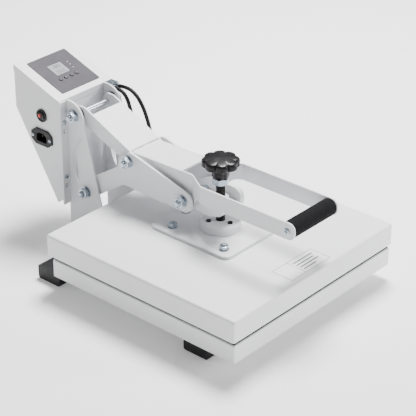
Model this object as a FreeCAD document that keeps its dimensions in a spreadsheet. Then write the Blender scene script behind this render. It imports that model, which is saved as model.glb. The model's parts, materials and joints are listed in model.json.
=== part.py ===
import FreeCAD, Part
import math
import os
import re

import Sketcher
from FreeCAD import Placement, Rotation, Vector

# Clamshell heat press. Millimetres, +Z up, the operator stands at -Y.
# The origin is the middle of the footprint, on the bench.

DIMENSIONS = {
    # Base
    "foot_half": 180, "foot_depth": 49, "foot_height": 25, "tube_wall": 1.5,
    "rear_foot_front": 80, "front_foot_front": -238,
    "cap_flange": 4, "cap_plug": 12, "cap_play": 0.2,
    "rail_offset": 90, "rail_width": 40, "rail_low": 2, "rail_high": 22,
    # Lower platen and pad
    "bed_half": 193, "bed_front": -298, "bed_rear": 84, "bed_top": 56, "bed_edge": 3,
    "pad_inset": 2, "pad_top": 61.5,
    # Upper platen
    "cover_half": 196, "cover_front": -299, "cover_rear": 93, "cover_low": 62, "cover_top": 99,
    "cover_wall": 1.5, "cover_edge": 4, "plate_inset": 4, "hot_low": 61.8, "hot_top": 73.8,
    "element_size": 7, "element_half": 150, "blanket_low": 81, "blanket_top": 95,
    # Pressure screw
    "axis_y": -103, "mount_half": 71, "mount_rear": 89, "mount_front": -74, "mount_thick": 5,
    "mount_corner": 12, "hub_size": 33.5, "hub_split": 112, "hub_top": 117, "hub_edge": 3,
    "collar_size": 12, "collar_low": 106.2, "collar_high": 110.8, "screw_size": 7.5, "screw_play": 0.05,
    "screw_top": 214, "jam_low": 181.5, "jam_high": 192.5, "jam_flats": 24,
    "knob_low": 193.5, "star_low": 212, "star_high": 225, "dome_top": 228, "knob_stem": 13.8,
    "knob_core": 25.5, "lobe_size": 7.2, "lobe_pitch": 23.2,
    # Stand
    "stand_in": 43, "stand_out": 46, "stand_rear": 193.5, "stand_top": 251, "stand_low": 3,
    "stand_nose": 160.6, "stand_toe": 106, "stand_round": 30, "stand_floor_end": 129.5,
    "flange_out": 61.5, "flange_thick": 3, "flange_low": 62, "flange_high": 250,
    "slot_y": 50.6, "slot_z": 135.5, "slot_radius": 127, "slot_half": 5.5,
    # Pivots, in the side plane
    "top_y": 174.7, "top_z": 226.6, "main_y": 153.4, "main_z": 93.5,
    "lug_y": 58.7, "lug_z": 180.1, "front_y": -58.5, "front_z": 150, "fold_y": 57, "fold_z": 190,
    "pivot_size": 5, "pivot_play": 0.06, "nut_flats": 17, "nut_thick": 8, "washer_size": 10.8,
    "washer_thick": 2, "stud_end": 5, "spacer_size": 13, "spacer_in": 35.5,
    # Arm
    "arm_in": 37, "arm_out": 41, "arm_nose": 18, "arm_lug": 16.5, "cheek_in": 18, "cheek_out": 27,
    # Lever
    "side_in": 28.4, "side_out": 31.2, "bar_in": 50.5, "bar_out": 53.3, "bend_rear": -70,
    "bend_front": -106, "web_rear": 54, "web_front": -48, "web_thick": 3, "web_z": 194,
    "bar_low": 168.5, "bar_high": 196, "grip_y": -280, "grip_z": 183.5, "bar_round": 14,
    "grip_tube": 10.5, "grip_foam": 14.3, "barrel_size": 4.2, "barrel_bore": 2.6,
    # Link
    "link_in": 31.6, "link_out": 34.6, "link_lug": 9.6, "link_web": 3, "web_rise": 0.4536,
    # Control box
    "box_half": 60.5, "lid_half": 61.5, "box_wall": 1.5, "box_rear": 299, "box_high": 288,
    "box_front_high": 251.5, "box_heel": 211.6, "box_toe_y": 207, "box_toe_z": 60.5,
    "box_front_low": 70, "lid_depth": 10.5, "lid_seam": 0.6, "slope": 19.084165,
    "panel_left": -41.5, "panel_right": 45.5, "panel_start": 12, "panel_end": 101, "panel_thick": 0.8,
    "window_left": -16.4, "window_right": 13.6, "window_start": 51, "window_end": 78,
    "button_row": 41, "button_size": 3.2, "button_hole": 3.7, "button_top": 2.2, "button_low": -6,
    "lamp_x": 24.5, "lamp_size": 1.8, "board_low": -13.1, "board_top": -11.5,
    "rocker_y": 236, "rocker_z": 213.7, "rocker_size": 7.6, "rocker_hole": 9, "rocker_rim": 11.5,
    "rocker_angle": 7,
    "inlet_y": 237.4, "inlet_z": 173.2, "inlet_long": 49, "inlet_tall": 29, "inlet_deep": 22,
    "inlet_flange": 3, "inlet_pitch": 40, "socket_long": 24, "socket_tall": 16, "socket_deep": 18,
    # Cables
    "cable_size": 3.3, "cable_hole": 4.9, "gland_low": 239.6, "gland_high": 251.4, "gland_front": 176,
    "cable_height": 245.5, "heater_x": 50.3, "sensor_x": 57.9,
}

doc = FreeCAD.newDocument("heat_press")
dims = doc.addObject("Spreadsheet::Sheet", "dims")
nodes = {}


def fill_sheet():
    """Write every driving dimension and its alias into the spreadsheet."""
    for row, (alias, size) in enumerate(DIMENSIONS.items(), start=1):
        dims.set(f"A{row}", alias)
        dims.set(f"B{row}", str(size))
        dims.setAlias(f"B{row}", alias)
    doc.recompute()


def number(text):
    """The value of an expression of sheet aliases."""
    return float(dims.evalExpression(str(text)))


def linked(text):
    """The same expression, as another object of the document refers to it."""
    def name(word):
        return ("dims." if word[0] in DIMENSIONS else "") + word[0]

    return re.sub(r"[a-z_]\w+", name, str(text))


def bind(thing, **sizes):
    for name, text in sizes.items():
        thing.setExpression(name, linked(text))
    return thing


def place(thing, x=0, y=0, z=0):
    for axis, text in zip("xyz", (x, y, z)):
        thing.setExpression(f"Placement.Base.{axis}", linked(text))
    return thing


def node(label, thing):
    """Enter a finished sub-part under the name of its file."""
    thing.Label = label
    nodes[label] = thing
    return thing


# Solids

TURNS = {"x": Rotation(Vector(0, 1, 0), 90), "y": Rotation(Vector(1, 0, 0), -90), "z": Rotation()}


def block(x, y, z):
    """A box from the two ends of each side."""
    thing = doc.addObject("Part::Box", "block")
    bind(thing, Length=f"({x[1]}) - ({x[0]})", Width=f"({y[1]}) - ({y[0]})", Height=f"({z[1]}) - ({z[0]})")
    return place(thing, x[0], y[0], z[0])


def rod(along, size, ends, at):
    """A cylinder along x, y or z between two ends, with its axis through the two other coordinates."""
    thing = doc.addObject("Part::Cylinder", "rod")
    bind(thing, Radius=size, Height=f"({ends[1]}) - ({ends[0]})")
    thing.Placement.Rotation = TURNS[along]
    return stand_along(thing, along, ends[0], at)


def hexagon(along, flats, ends, at):
    thing = doc.addObject("Part::Prism", "hexagon")
    thing.Polygon = 6
    bind(thing, Circumradius=f"({flats}) / 1.7320508", Height=f"({ends[1]}) - ({ends[0]})")
    thing.Placement.Rotation = TURNS[along]
    return stand_along(thing, along, ends[0], at)


def stand_along(thing, along, start, at):
    where = {"x": (start, at[0], at[1]), "y": (at[0], start, at[1]), "z": (at[0], at[1], start)}
    return place(thing, *where[along])


def cut(base, tool):
    thing = doc.addObject("Part::Cut", "cut")
    thing.Base = base
    thing.Tool = tool
    return thing


def fuse(*things):
    thing = doc.addObject("Part::MultiFuse", "fuse")
    thing.Shapes = things
    return thing


def group(*things):
    """Separate solids that share one node."""
    thing = doc.addObject("Part::Compound", "group")
    thing.Links = things
    return thing


def common(base, tool):
    thing = doc.addObject("Part::Common", "common")
    thing.Base = base
    thing.Tool = tool
    return thing


def drilled(base, *tools):
    return cut(base, tools[0] if len(tools) == 1 else fuse(*tools))


def ring(along, outer, inner, ends, at):
    hole_ends = (f"({ends[0]}) - 1", f"({ends[1]}) + 1")
    return cut(rod(along, outer, ends, at), rod(along, inner, hole_ends, at))


def nut(along, flats, bore, ends, at):
    hole_ends = (f"({ends[0]}) - 1", f"({ends[1]}) + 1")
    return cut(hexagon(along, flats, ends, at), rod(along, bore, hole_ends, at))


def softened(base, size, chosen):
    """Rounds the edges that the test picks out."""
    doc.recompute()
    thing = doc.addObject("Part::Fillet", "softened")
    thing.Base = base
    thing.Edges = [
        (index, size, size) for index, edge in enumerate(base.Shape.Edges, start=1) if chosen(edge)
    ]
    return thing


def flat_at(edge, height):
    """Whether an edge lies wholly at one height."""
    box = edge.BoundBox
    return abs(box.ZMin - height) < 0.01 and abs(box.ZMax - height) < 0.01


def upright(edge):
    box = edge.BoundBox
    return box.XLength < 0.01 and box.YLength < 0.01


# Sketches: every corner, radius and circle is held by a constraint bound to the sheet

PLANES = {"xy": "XY_Plane", "xz": "XZ_Plane", "yz": "YZ_Plane"}


def new_body(name, plane):
    body = doc.addObject("PartDesign::Body", name)
    sketch = body.newObject("Sketcher::SketchObject", name + "_sketch")
    origin = next(item for item in body.Origin.OriginFeatures if item.Role == PLANES[plane])
    sketch.AttachmentSupport = [(origin, "")]
    sketch.MapMode = "FlatFace"
    return body, sketch


def hold(sketch, *constraint, text):
    """Add one dimension to a sketch and bind it to its expression."""
    index = sketch.addConstraint(Sketcher.Constraint(*constraint, number(text)))
    sketch.setExpression(f"Constraints[{index}]", linked(text))


def draw_circle(sketch, centre, size):
    middle = Vector(number(centre[0]), number(centre[1]), 0)
    circle = sketch.addGeometry(Part.Circle(middle, Vector(0, 0, 1), number(size)), False)
    hold(sketch, "DistanceX", circle, 3, text=centre[0])
    hold(sketch, "DistanceY", circle, 3, text=centre[1])
    hold(sketch, "Radius", circle, text=size)


def corner_arc(before, corner, after, size):
    """The arc that rounds a corner, and whether it starts on the edge that comes in."""
    inward = (before - corner).normalize()
    outward = (after - corner).normalize()
    half = inward.getAngle(outward) / 2
    reach = size / math.tan(half)
    middle = corner + (inward + outward).normalize() * (size / math.sin(half))
    first = corner + inward * reach
    last = corner + outward * reach
    start = math.atan2(first.y - middle.y, first.x - middle.x)
    stop = math.atan2(last.y - middle.y, last.x - middle.x)
    forward = inward.cross(outward).z < 0
    circle = Part.Circle(middle, Vector(0, 0, 1), size)
    arc = Part.ArcOfCircle(circle, start, stop) if forward else Part.ArcOfCircle(circle, stop, start)
    return first, last, arc, forward


def draw_outline(sketch, corners):
    """A closed outline from its corners; a corner with a radius is rounded by a tangent arc."""
    points = [Vector(number(corner[0]), number(corner[1]), 0) for corner in corners]
    count = len(corners)
    rounds = {}
    for index, corner in enumerate(corners):
        if len(corner) == 3:
            before = points[index - 1]
            after = points[(index + 1) % count]
            rounds[index] = corner_arc(before, points[index], after, number(corner[2]))
    lines = []
    for index in range(count):
        following = (index + 1) % count
        start = rounds[index][1] if index in rounds else points[index]
        stop = rounds[following][0] if following in rounds else points[following]
        lines.append(sketch.addGeometry(Part.LineSegment(start, stop), False))
    for index, corner in enumerate(corners):
        incoming = lines[index - 1]
        outgoing = lines[index]
        if index not in rounds:
            sketch.addConstraint(Sketcher.Constraint("Coincident", incoming, 2, outgoing, 1))
            hold(sketch, "DistanceX", outgoing, 1, text=corner[0])
            hold(sketch, "DistanceY", outgoing, 1, text=corner[1])
            continue
        arc = sketch.addGeometry(rounds[index][2], False)
        near, far = (1, 2) if rounds[index][3] else (2, 1)
        mark = sketch.addGeometry(Part.Point(points[index]), True)
        sketch.addConstraint([
            Sketcher.Constraint("Tangent", incoming, 2, arc, near),
            Sketcher.Constraint("Tangent", outgoing, 1, arc, far),
            Sketcher.Constraint("PointOnObject", mark, 1, incoming),
            Sketcher.Constraint("PointOnObject", mark, 1, outgoing),
        ])
        hold(sketch, "DistanceX", mark, 1, text=corner[0])
        hold(sketch, "DistanceY", mark, 1, text=corner[1])
        hold(sketch, "Radius", arc, text=corner[2])


def plate(name, plane, corners, ends, holes=()):
    """A flat piece: an outline with round holes, standing between two ends along the plane's normal."""
    body, sketch = new_body(name, plane)
    draw_outline(sketch, corners)
    for centre, size in holes:
        draw_circle(sketch, centre, size)
    pad = body.newObject("PartDesign::Pad", name + "_pad")
    pad.Profile = sketch
    bind(pad, Length=f"({ends[1]}) - ({ends[0]})")
    body.Tip = pad
    sketch.Visibility = False
    if plane == "xz":
        return place(body, y=ends[1])
    return place(body, x=ends[0]) if plane == "yz" else place(body, z=ends[0])


def turned(name, corners, at):
    """A piece turned about a vertical axis, from its half section (radius, height)."""
    body, sketch = new_body(name, "xz")
    draw_outline(sketch, corners)
    turn = body.newObject("PartDesign::Revolution", name + "_turn")
    turn.Profile = sketch
    turn.ReferenceAxis = (sketch, ["V_Axis"])
    turn.Angle = 360
    body.Tip = turn
    return place(body, at[0], at[1])


def rectangle(left, low, right, high, size=None):
    corners = [(left, low), (right, low), (right, high), (left, high)]
    return [corner + (size,) for corner in corners] if size else corners


def sides(low, high):
    """The same span on the left and on the right of the middle plane."""
    return ((f"-({high})", f"-({low})"), (low, high))


# Base

def foot_tube(label, front):
    rear = f"{front} + foot_depth"
    outer = plate(label + "_skin", "yz", rectangle(front, "0", rear, "foot_height", "4"),
                  ("-foot_half", "foot_half"))
    hollow = plate(label + "_hollow", "yz",
                   rectangle(f"{front} + tube_wall", "tube_wall", f"{rear} - tube_wall",
                             "foot_height - tube_wall", "2.5"),
                   ("-foot_half - 1", "foot_half + 1"))
    node(label, cut(outer, hollow))


def foot_end_caps():
    caps = []
    for front in ("front_foot_front", "rear_foot_front"):
        rear = f"{front} + foot_depth"
        inset = "tube_wall + cap_play"
        for sign in (-1, 1):
            start, stop = ("foot_half", "foot_half + cap_flange") if sign > 0 else (
                "-foot_half - cap_flange", "-foot_half")
            outline = rectangle(front, "0", rear, "foot_height", "4")
            flange = plate("cap_flange_plate", "yz", outline, (start, stop))
            inner = ("foot_half - cap_plug", "foot_half + 1") if sign > 0 else (
                "-foot_half - 1", "cap_plug - foot_half")
            plug = block(inner, (f"{front} + {inset} + 1", f"{rear} - ({inset}) - 1"),
                         (f"{inset} + 1", f"foot_height - ({inset}) - 1"))
            caps.append(fuse(flange, plug))
    node("foot_end_caps", group(*caps))


def base_rails():
    rear_of_front_foot = "front_foot_front + foot_depth"
    rails = []
    for sign in (-1, 1):
        middle = f"{sign} * rail_offset"
        rails.append(block((f"{middle} - rail_width / 2", f"{middle} + rail_width / 2"),
                           (rear_of_front_foot, "rear_foot_front"), ("rail_low", "rail_high")))
    node("base_rails", group(*rails))


def lower_platen():
    slab = block(("-bed_half", "bed_half"), ("bed_front", "bed_rear"), ("foot_height", "bed_top"))
    node("lower_platen", softened(slab, number("bed_edge"), lambda edge: upright(edge)
                                  or flat_at(edge, number("bed_top"))))


def silicone_pad():
    outline = rectangle("pad_inset - bed_half", "bed_front + pad_inset", "bed_half - pad_inset",
                        "bed_rear - pad_inset", "3")
    node("silicone_pad", plate("pad", "xy", outline, ("bed_top", "pad_top")))


# Upper platen

STUDS = (("51.5", "-47"), ("-51.5", "-47"), ("51.5", "-155"), ("-51.5", "-155"), ("0", "-29.5"))
STUD_SIZE = "4"


def platen_cover():
    skin = block(("-cover_half", "cover_half"), ("cover_front", "cover_rear"), ("cover_low", "cover_top"))
    rounded = softened(skin, number("cover_edge"), lambda edge: upright(edge)
                       or flat_at(edge, number("cover_top")))
    inside = block(("cover_wall - cover_half", "cover_half - cover_wall"),
                   ("cover_front + cover_wall", "cover_rear - cover_wall"),
                   ("cover_low - 1", "cover_top - cover_wall"))
    holes = [rod("z", "4.3", ("cover_low", "cover_top + 1"), stud) for stud in STUDS]
    holes.append(rod("z", "cable_hole", ("cover_top - 5", "cover_top + 1"), ("heater_x + 1.7", "78")))
    holes.append(rod("z", "cable_hole", ("cover_top - 5", "cover_top + 1"), ("sensor_x + 4.1", "78")))
    node("platen_cover", drilled(rounded, inside, *holes))


def heating_plate():
    outline = rectangle("plate_inset - cover_half", "cover_front + plate_inset",
                        "cover_half - plate_inset", "cover_rear - plate_inset", "5")
    node("heating_plate", plate("hot_plate", "xy", outline, ("hot_low", "hot_top")))


def heating_element():
    """A folded rod element that lies on the plate."""
    high = "hot_top + element_size"
    legs = []
    for row in range(4):
        y = f"axis_y + {(row - 1.5) * 80}"
        depth = (f"{y} - element_size / 2", f"{y} + element_size / 2")
        legs.append(block(("-element_half", "element_half"), depth,
                          ("hot_top", high)))
    for row in range(3):
        y = f"axis_y + {(row - 1.5) * 80}"
        left, right = ("element_half - element_size", "element_half")
        if row % 2:
            left, right = ("-element_half", "element_size - element_half")
        legs.append(block((left, right), (y, f"{y} + 80"), ("hot_top", high)))
    node("heating_element", fuse(*legs))


def insulation_blanket():
    outline = rectangle("plate_inset - cover_half", "cover_front + plate_inset",
                        "cover_half - plate_inset", "cover_rear - plate_inset", "5")
    holes = [(stud, "4.5") for stud in STUDS]
    node("insulation_blanket", plate("blanket", "xy", outline, ("blanket_low", "blanket_top"), holes))


def temperature_sensor():
    node("temperature_sensor", rod("x", "3", ("60", "84"), ("-20", "hot_top + 3")))


def mounting_plate():
    outline = rectangle("-mount_half", "axis_y + mount_front", "mount_half", "axis_y + mount_rear",
                        "mount_corner")
    holes = [(stud, "4.3") for stud in STUDS]
    node("mounting_plate", plate("mount", "xy", outline, ("cover_top", "cover_top + mount_thick"), holes))


def mounting_studs():
    seat = "cover_top + mount_thick"
    pieces = [rod("z", STUD_SIZE, ("hot_top", f"{seat} + 9.5"), stud) for stud in STUDS]
    pieces += [nut("z", "13", STUD_SIZE, (seat, f"{seat} + 6.5"), stud) for stud in STUDS]
    node("mounting_studs", group(*pieces))


def hub():
    """The ring that holds the collar of the pressure screw, and the retainer over it."""
    low = "cover_top + mount_thick"
    ring_corners = [("0", low), ("hub_size", low), ("hub_size", "hub_split"),
                    ("collar_size + 0.5", "hub_split"), ("collar_size + 0.5", "collar_low - 0.3"),
                    ("0", "collar_low - 0.3")]
    node("hub", turned("hub_ring", ring_corners, ("0", "axis_y")))
    bore = "screw_size + 0.4"
    top_corners = [(bore, "hub_split"), ("hub_size", "hub_split"), ("hub_size", "hub_top", "hub_edge"),
                   (bore, "hub_top")]
    retainer = turned("hub_top_ring", top_corners, ("0", "axis_y"))
    screws = []
    wells = []
    for turn in (30, 150, 270):
        x = f"{20 * math.cos(math.radians(turn)):.3f}"
        y = f"axis_y + {20 * math.sin(math.radians(turn)):.3f}"
        head = rod("z", "4.4", ("hub_top - 1.5", "hub_top + 2"), (x, y))
        socket = hexagon("z", "4", ("hub_top", "hub_top + 3"), (x, y))
        screws.append(cut(head, socket))
        wells.append(rod("z", "4.4", ("hub_top - 1.5", "hub_top + 3"), (x, y)))
    node("hub_retainer", drilled(retainer, *wells))
    node("hub_screws", group(*screws))


def pressure_screw():
    corners = [("0", "collar_low"), ("collar_size", "collar_low"), ("collar_size", "collar_high"),
               ("screw_size", "collar_high"), ("screw_size", "screw_top"), ("0", "screw_top")]
    node("pressure_screw", turned("screw", corners, ("0", "axis_y")))
    node("jam_nut", nut("z", "jam_flats", "screw_size", ("jam_low", "jam_high"), ("0", "axis_y")))


def star_knob():
    """Eight lobes round a domed core, on a round stem."""
    stem = rod("z", "knob_stem", ("knob_low", "star_low + 1"), ("0", "axis_y"))
    core_corners = [("0", "star_low"), ("knob_core", "star_low"), ("knob_core", "star_high", "3"),
                    ("0", "dome_top")]
    core = turned("knob_core_turn", core_corners, ("0", "axis_y"))
    lobes = []
    for lobe in range(8):
        turn = math.radians(45 * lobe)
        where = (f"lobe_pitch * {math.cos(turn):.5f}", f"axis_y + lobe_pitch * {math.sin(turn):.5f}")
        lobe_corners = [("0", "star_low"), ("lobe_size", "star_low", "2"), ("lobe_size", "star_high", "3"),
                        ("0", "star_high")]
        lobes.append(turned("lobe", lobe_corners, where))
    socket = rod("z", "screw_size", ("knob_low - 1", "screw_top"), ("0", "axis_y"))
    node("star_knob", cut(fuse(stem, core, *lobes), socket))


# Stand

def stand_plate(side, sign):
    front_slope = "(stand_nose - stand_toe) / (stand_top - foot_height)"
    corners = [("stand_toe", "foot_height"), ("stand_floor_end", "foot_height"),
               ("stand_floor_end", "stand_low"), ("stand_rear", "stand_low"), ("stand_rear", "stand_top"),
               (f"stand_toe + {front_slope} * (stand_top - foot_height)", "stand_top", "stand_round")]
    ends = ("stand_in", "stand_out") if sign > 0 else ("-stand_out", "-stand_in")
    holes = [(("top_y", "top_z"), "pivot_size"), (("main_y", "main_z"), "pivot_size")]
    flat = plate("stand_flat_" + side, "yz", corners, ends, holes)
    flange_x = ("stand_in", "flange_out") if sign > 0 else ("-flange_out", "-stand_in")
    high = "gland_low" if sign > 0 else "flange_high"
    flange = block(flange_x, ("stand_rear - flange_thick", "stand_rear"), ("flange_low", high))
    return node("stand_plate_" + side, drilled(fuse(flat, flange), arc_slot(ends), *flange_slots(sign)))


def arc_slot(ends):
    """A crescent slot on a large arc."""
    body, sketch = new_body("crescent", "yz")
    middle = Vector(number("slot_y"), number("slot_z"), 0)
    half = number("slot_half")
    turn_low, turn_high = math.radians(-17), math.radians(28.5)
    mid_turn = (turn_low + turn_high) / 2
    radius = number("slot_radius")

    def on_arc(reach, turn):
        return middle + Vector(reach * math.cos(turn), reach * math.sin(turn), 0)

    low, high = on_arc(radius - half, turn_low), on_arc(radius - half, turn_high)
    outer = Part.Arc(low, on_arc(radius + half, mid_turn), high)
    inner = Part.Arc(low, on_arc(radius - half - 1, mid_turn), high)
    first = sketch.addGeometry(outer, False)
    second = sketch.addGeometry(inner, False)
    sketch.addConstraint(Sketcher.Constraint("Coincident", first, 1, second, 1))
    sketch.addConstraint(Sketcher.Constraint("Coincident", first, 2, second, 2))
    pad = body.newObject("PartDesign::Pad", "crescent_pad")
    pad.Profile = sketch
    bind(pad, Length="stand_out - stand_in + 2")
    body.Tip = pad
    return place(body, x=f"{ends[0]} - 1")


def flange_slots(sign):
    slots = []
    for low in (193, 92):
        start, stop = ("52", "56") if sign > 0 else ("-56", "-52")
        slots.append(block((start, stop), ("stand_rear - flange_thick - 1", "stand_rear + 1"),
                           (str(low), f"{low} + 9")))
    return slots


def stand_foot():
    depth = ("stand_floor_end", "stand_rear")
    node("stand_foot", block(("-stand_out", "stand_out"), depth, ("0", "stand_low")))


def stand_bolts():
    """The two fixed axles' ends with their washers and nuts, the black spacers and the main shaft."""
    end = "stand_out + washer_thick + nut_thick + stud_end"
    node("main_pivot_shaft", rod("x", "pivot_size", (f"-({end})", end), ("main_y", "main_z")))
    studs, nuts, spacers = [], [], []
    for span in sides("spacer_in", end):
        studs.append(rod("x", "pivot_size", span, ("top_y", "top_z")))
    for at in (("top_y", "top_z"), ("main_y", "main_z")):
        for span in sides("stand_out", "stand_out + washer_thick"):
            nuts.append(ring("x", "washer_size", "pivot_size", span, at))
        for span in sides("stand_out + washer_thick", "stand_out + washer_thick + nut_thick"):
            nuts.append(nut("x", "nut_flats", "pivot_size", span, at))
    for span in sides("spacer_in", "stand_in"):
        spacers.append(ring("x", "spacer_size", "pivot_size", span, ("top_y", "top_z")))
    for span in sides("arm_out + 0.3", "stand_in"):
        nuts.append(ring("x", "washer_size", "pivot_size", span, ("main_y", "main_z")))
    node("top_pivot_studs", group(*studs))
    node("stand_nuts", group(*nuts))
    node("link_spacers", group(*spacers))


def box_screws():
    """Screws of the box flanges and of the inlet's ears."""
    screws = [rod("x", "2.8", ("-box_half - inlet_flange - 1.4", "-box_half - inlet_flange"),
                  (f"inlet_y + {sign} * inlet_pitch / 2", "inlet_z")) for sign in (-1, 1)]
    for x in ("54", "-54"):
        for z in ("213", "113"):
            head = ("stand_rear - flange_thick - 2.4", "stand_rear - flange_thick")
            screws.append(rod("y", "4", head, (x, z)))
    node("box_screws", group(*screws))


# Arm

def arm_plate(side, sign):
    ends = ("arm_in", "arm_out") if sign > 0 else ("-arm_out", "-arm_in")
    corners = [
        ("front_y - arm_nose - 1", "front_z + arm_nose - 4.2", "arm_nose - 2"),
        ("lug_y - 4", "lug_z + arm_lug + 1.6", "arm_lug"), ("lug_y + arm_lug + 4", "lug_z + 3", "10"),
        ("82", "164", "6"), ("main_y + 9", "main_z + 16.5", "12"), ("main_y + 17", "main_z - 2", "13"),
        ("main_y + 2", "main_z - 17.5", "13"), ("71.5", "134.2", "6"),
        ("front_y - 6", "131", "10"), ("front_y - arm_nose - 1.5", "front_z - 12", "12"),
    ]
    holes = [(("main_y", "main_z"), "pivot_size + pivot_play"), (("front_y", "front_z"), "pivot_size"),
             (("lug_y", "lug_z"), "pivot_size")]
    node("arm_plate_" + side, plate("arm_" + side, "yz", corners, ends, holes))


def arm_bolts():
    end = "arm_out + washer_thick + nut_thick + stud_end"
    axles = [rod("x", "pivot_size", (f"-({end})", end), ("front_y", "front_z"))]
    nuts = []
    for span in sides("arm_in", end):
        axles.append(rod("x", "pivot_size", span, ("lug_y", "lug_z")))
    for at in (("front_y", "front_z"), ("lug_y", "lug_z")):
        for span in sides("arm_out", "arm_out + washer_thick"):
            nuts.append(ring("x", "washer_size", "pivot_size", span, at))
        for span in sides("arm_out + washer_thick", "arm_out + washer_thick + nut_thick"):
            nuts.append(nut("x", "nut_flats", "pivot_size", span, at))
    node("arm_axles", group(*axles))
    node("arm_nuts", group(*nuts))
    spacers = [ring("x", "pivot_size + 3", "pivot_size", span, ("front_y", "front_z"))
               for span in sides("side_out + 0.4", "arm_in")]
    spacers.append(ring("x", "pivot_size + 3", "pivot_size + pivot_play", ("-arm_in", "arm_in"),
                        ("main_y", "main_z")))
    node("arm_spacers", group(*spacers))


def crosshead():
    """The nut bracket that carries the pressure screw: two thick cheeks on a base with a boss."""
    bottom = "front_z - 10"
    rear, front = "front_y + 14", "axis_y - 26"
    outline = [(rear, bottom, "8"), (rear, "front_z + 13", "9"), ("front_y - 6", "front_z + 21", "14"),
               (front, "front_z + 21", "15"), (front, "front_z - 9", "8"),
               ("axis_y + 1", "front_z - 17.5", "18")]
    cheek_right = plate("cheek_right", "yz", outline, ("cheek_in", "cheek_out"))
    cheek_left = plate("cheek_left", "yz", outline, ("-cheek_out", "-cheek_in"))
    base = block(("-cheek_in - 1", "cheek_in + 1"), ("axis_y - 20", "front_y + 10"),
                 (bottom, "front_z + 1"))
    boss = rod("z", "screw_size + 6", (bottom, "front_z + 8"), ("0", "axis_y"))
    bore = rod("z", "screw_size + screw_play", ("front_z - 20", "front_z + 40"), ("0", "axis_y"))
    cross = rod("x", "pivot_size", ("-30", "30"), ("front_y", "front_z"))
    node("crosshead", drilled(fuse(base, cheek_right, cheek_left, boss), bore, cross))


# Lever

def lever_side(side, sign):
    profile = [
        ("fold_y + 7", "fold_z + 3.6", "7"), ("fold_y + 7", "fold_z - 10", "6"),
        ("fold_y - 8", "fold_z - 10", "12"),
        ("-30", "133", "14"), ("front_y - 8", "132.5", "14"), ("-80", "150", "12"),
        ("-92", "bar_low", "14"), ("grip_y - bar_round", "bar_low + 1", "12"),
        ("grip_y - bar_round", "bar_high + 1.5", "12"), ("bend_rear", "bar_high + 0.8", "30"),
    ]
    holes = [(("front_y", "front_z"), "pivot_size + pivot_play"), (("fold_y", "fold_z"), "barrel_bore")]
    outline = plate("lever_profile_" + side, "yz", profile, ("-70", "70"), holes)
    plan = [
        ("side_in", "fold_y + 20"), ("side_in", "bend_rear", "4"), ("bar_in", "bend_front", "4"),
        ("bar_in", "grip_y - 30"), ("bar_out", "grip_y - 30"), ("bar_out", "bend_front - 1.2", "7"),
        ("side_out", "bend_rear - 1.2", "7"), ("side_out", "fold_y + 20"),
    ]
    if sign < 0:
        plan = [(f"-({corner[0]})",) + corner[1:] for corner in plan]
    ribbon = plate("lever_plan_" + side, "xy", plan, ("100", "230"))
    node("lever_side_" + side, common(ribbon, outline))


def lever_web():
    side = [("web_rear", "web_z"), ("web_rear", "web_z - web_thick"),
            ("web_front", "web_z + 2 - web_thick"), ("web_front", "web_z + 2")]
    barrel = rod("x", "barrel_size", ("-side_in", "side_in"), ("fold_y", "fold_z"))
    bore = rod("x", "barrel_bore", ("-side_in - 1", "side_in + 1"), ("fold_y", "fold_z"))
    node("lever_web", cut(fuse(plate("web", "yz", side, ("-side_in", "side_in")), barrel), bore))
    node("fold_pin", rod("x", "barrel_bore", ("-link_out - 1", "link_out + 1"), ("fold_y", "fold_z")))


def grip():
    at = ("grip_y", "grip_z")
    node("grip_tube", rod("x", "grip_tube", ("-bar_in", "bar_in"), at))
    node("foam_grip", ring("x", "grip_foam", "grip_tube", ("0.3 - bar_in", "bar_in - 0.3"), at))
    heads = []
    for span in sides("bar_out", "bar_out + 2.6"):
        heads.append(rod("x", "5", span, at))
    node("grip_screws", group(*heads))


# Link

def upper_link():
    """A folded channel: a top web between two side flanges."""
    outline = [
        ("fold_y - 8.5", "fold_z", "5"), ("fold_y - 3", "fold_z + 2.6", "8"), ("161", "241.2", "5"),
        ("179", "242", "12"),
        ("top_y + link_lug", "top_z + 4", "9"), ("top_y + link_lug - 1", "top_z - 11", "9"),
        ("142", "203", "20"), ("66", "171.5", "6"), ("fold_y - 5", "173.5", "5"),
        ("fold_y - 9", "fold_z - 8", "6"),
    ]
    holes = [(("fold_y", "fold_z"), "barrel_bore + pivot_play"), (("top_y", "top_z"), "pivot_size")]
    skin = plate("link_skin", "yz", outline, ("-link_out", "link_out"), holes)
    web_under = "241.2 - link_web * 1.1"
    front, rear = "fold_y + 4.2", "145"
    under = [("30", "100"), ("220", "100"), ("220", "270"), (rear, "270"),
             (rear, f"{web_under} - web_rise * (161 - {rear})"),
             (front, f"{web_under} - web_rise * (161 - ({front}))"), (front, "220"), ("30", "220")]
    inside = plate("link_inside", "yz", under, ("-link_in", "link_in"))
    node("upper_link", cut(skin, inside))
    node("link_end_shaft", rod("x", "pivot_size", ("-link_out", "link_out"), ("top_y", "top_z")))


# Control box: its sloping top has a frame of its own

def on_slope(thing):
    """Move a piece drawn flat onto the sloping top: its y then runs up the slope from the front edge."""
    carrier = group(thing)
    carrier.Placement.Rotation = Rotation(Vector(1, 0, 0), number("slope"))
    return place(carrier, y="stand_rear", z="box_front_high")


def box_profile(inset, top_drop):
    """Side outline of the box, its walls moved inwards."""
    rise = "(box_high - box_front_high) / (box_rear - stand_rear)"
    heel_run = "(box_heel - box_toe_z) / (box_rear - box_toe_y)"
    front = f"stand_rear + {inset}"
    rear = f"box_rear - {inset}"
    return [
        (front, f"box_front_high - {top_drop} + {rise} * {inset}"),
        (rear, f"box_high - {top_drop} - {rise} * {inset}"),
        (rear, f"box_heel + 0.78 * {inset}"),
        (f"box_toe_y + 0.1 * {inset}", f"box_toe_z + 1.75 * {inset}"),
        (front, f"box_front_low + 1.7 * {inset}"),
    ]


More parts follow.
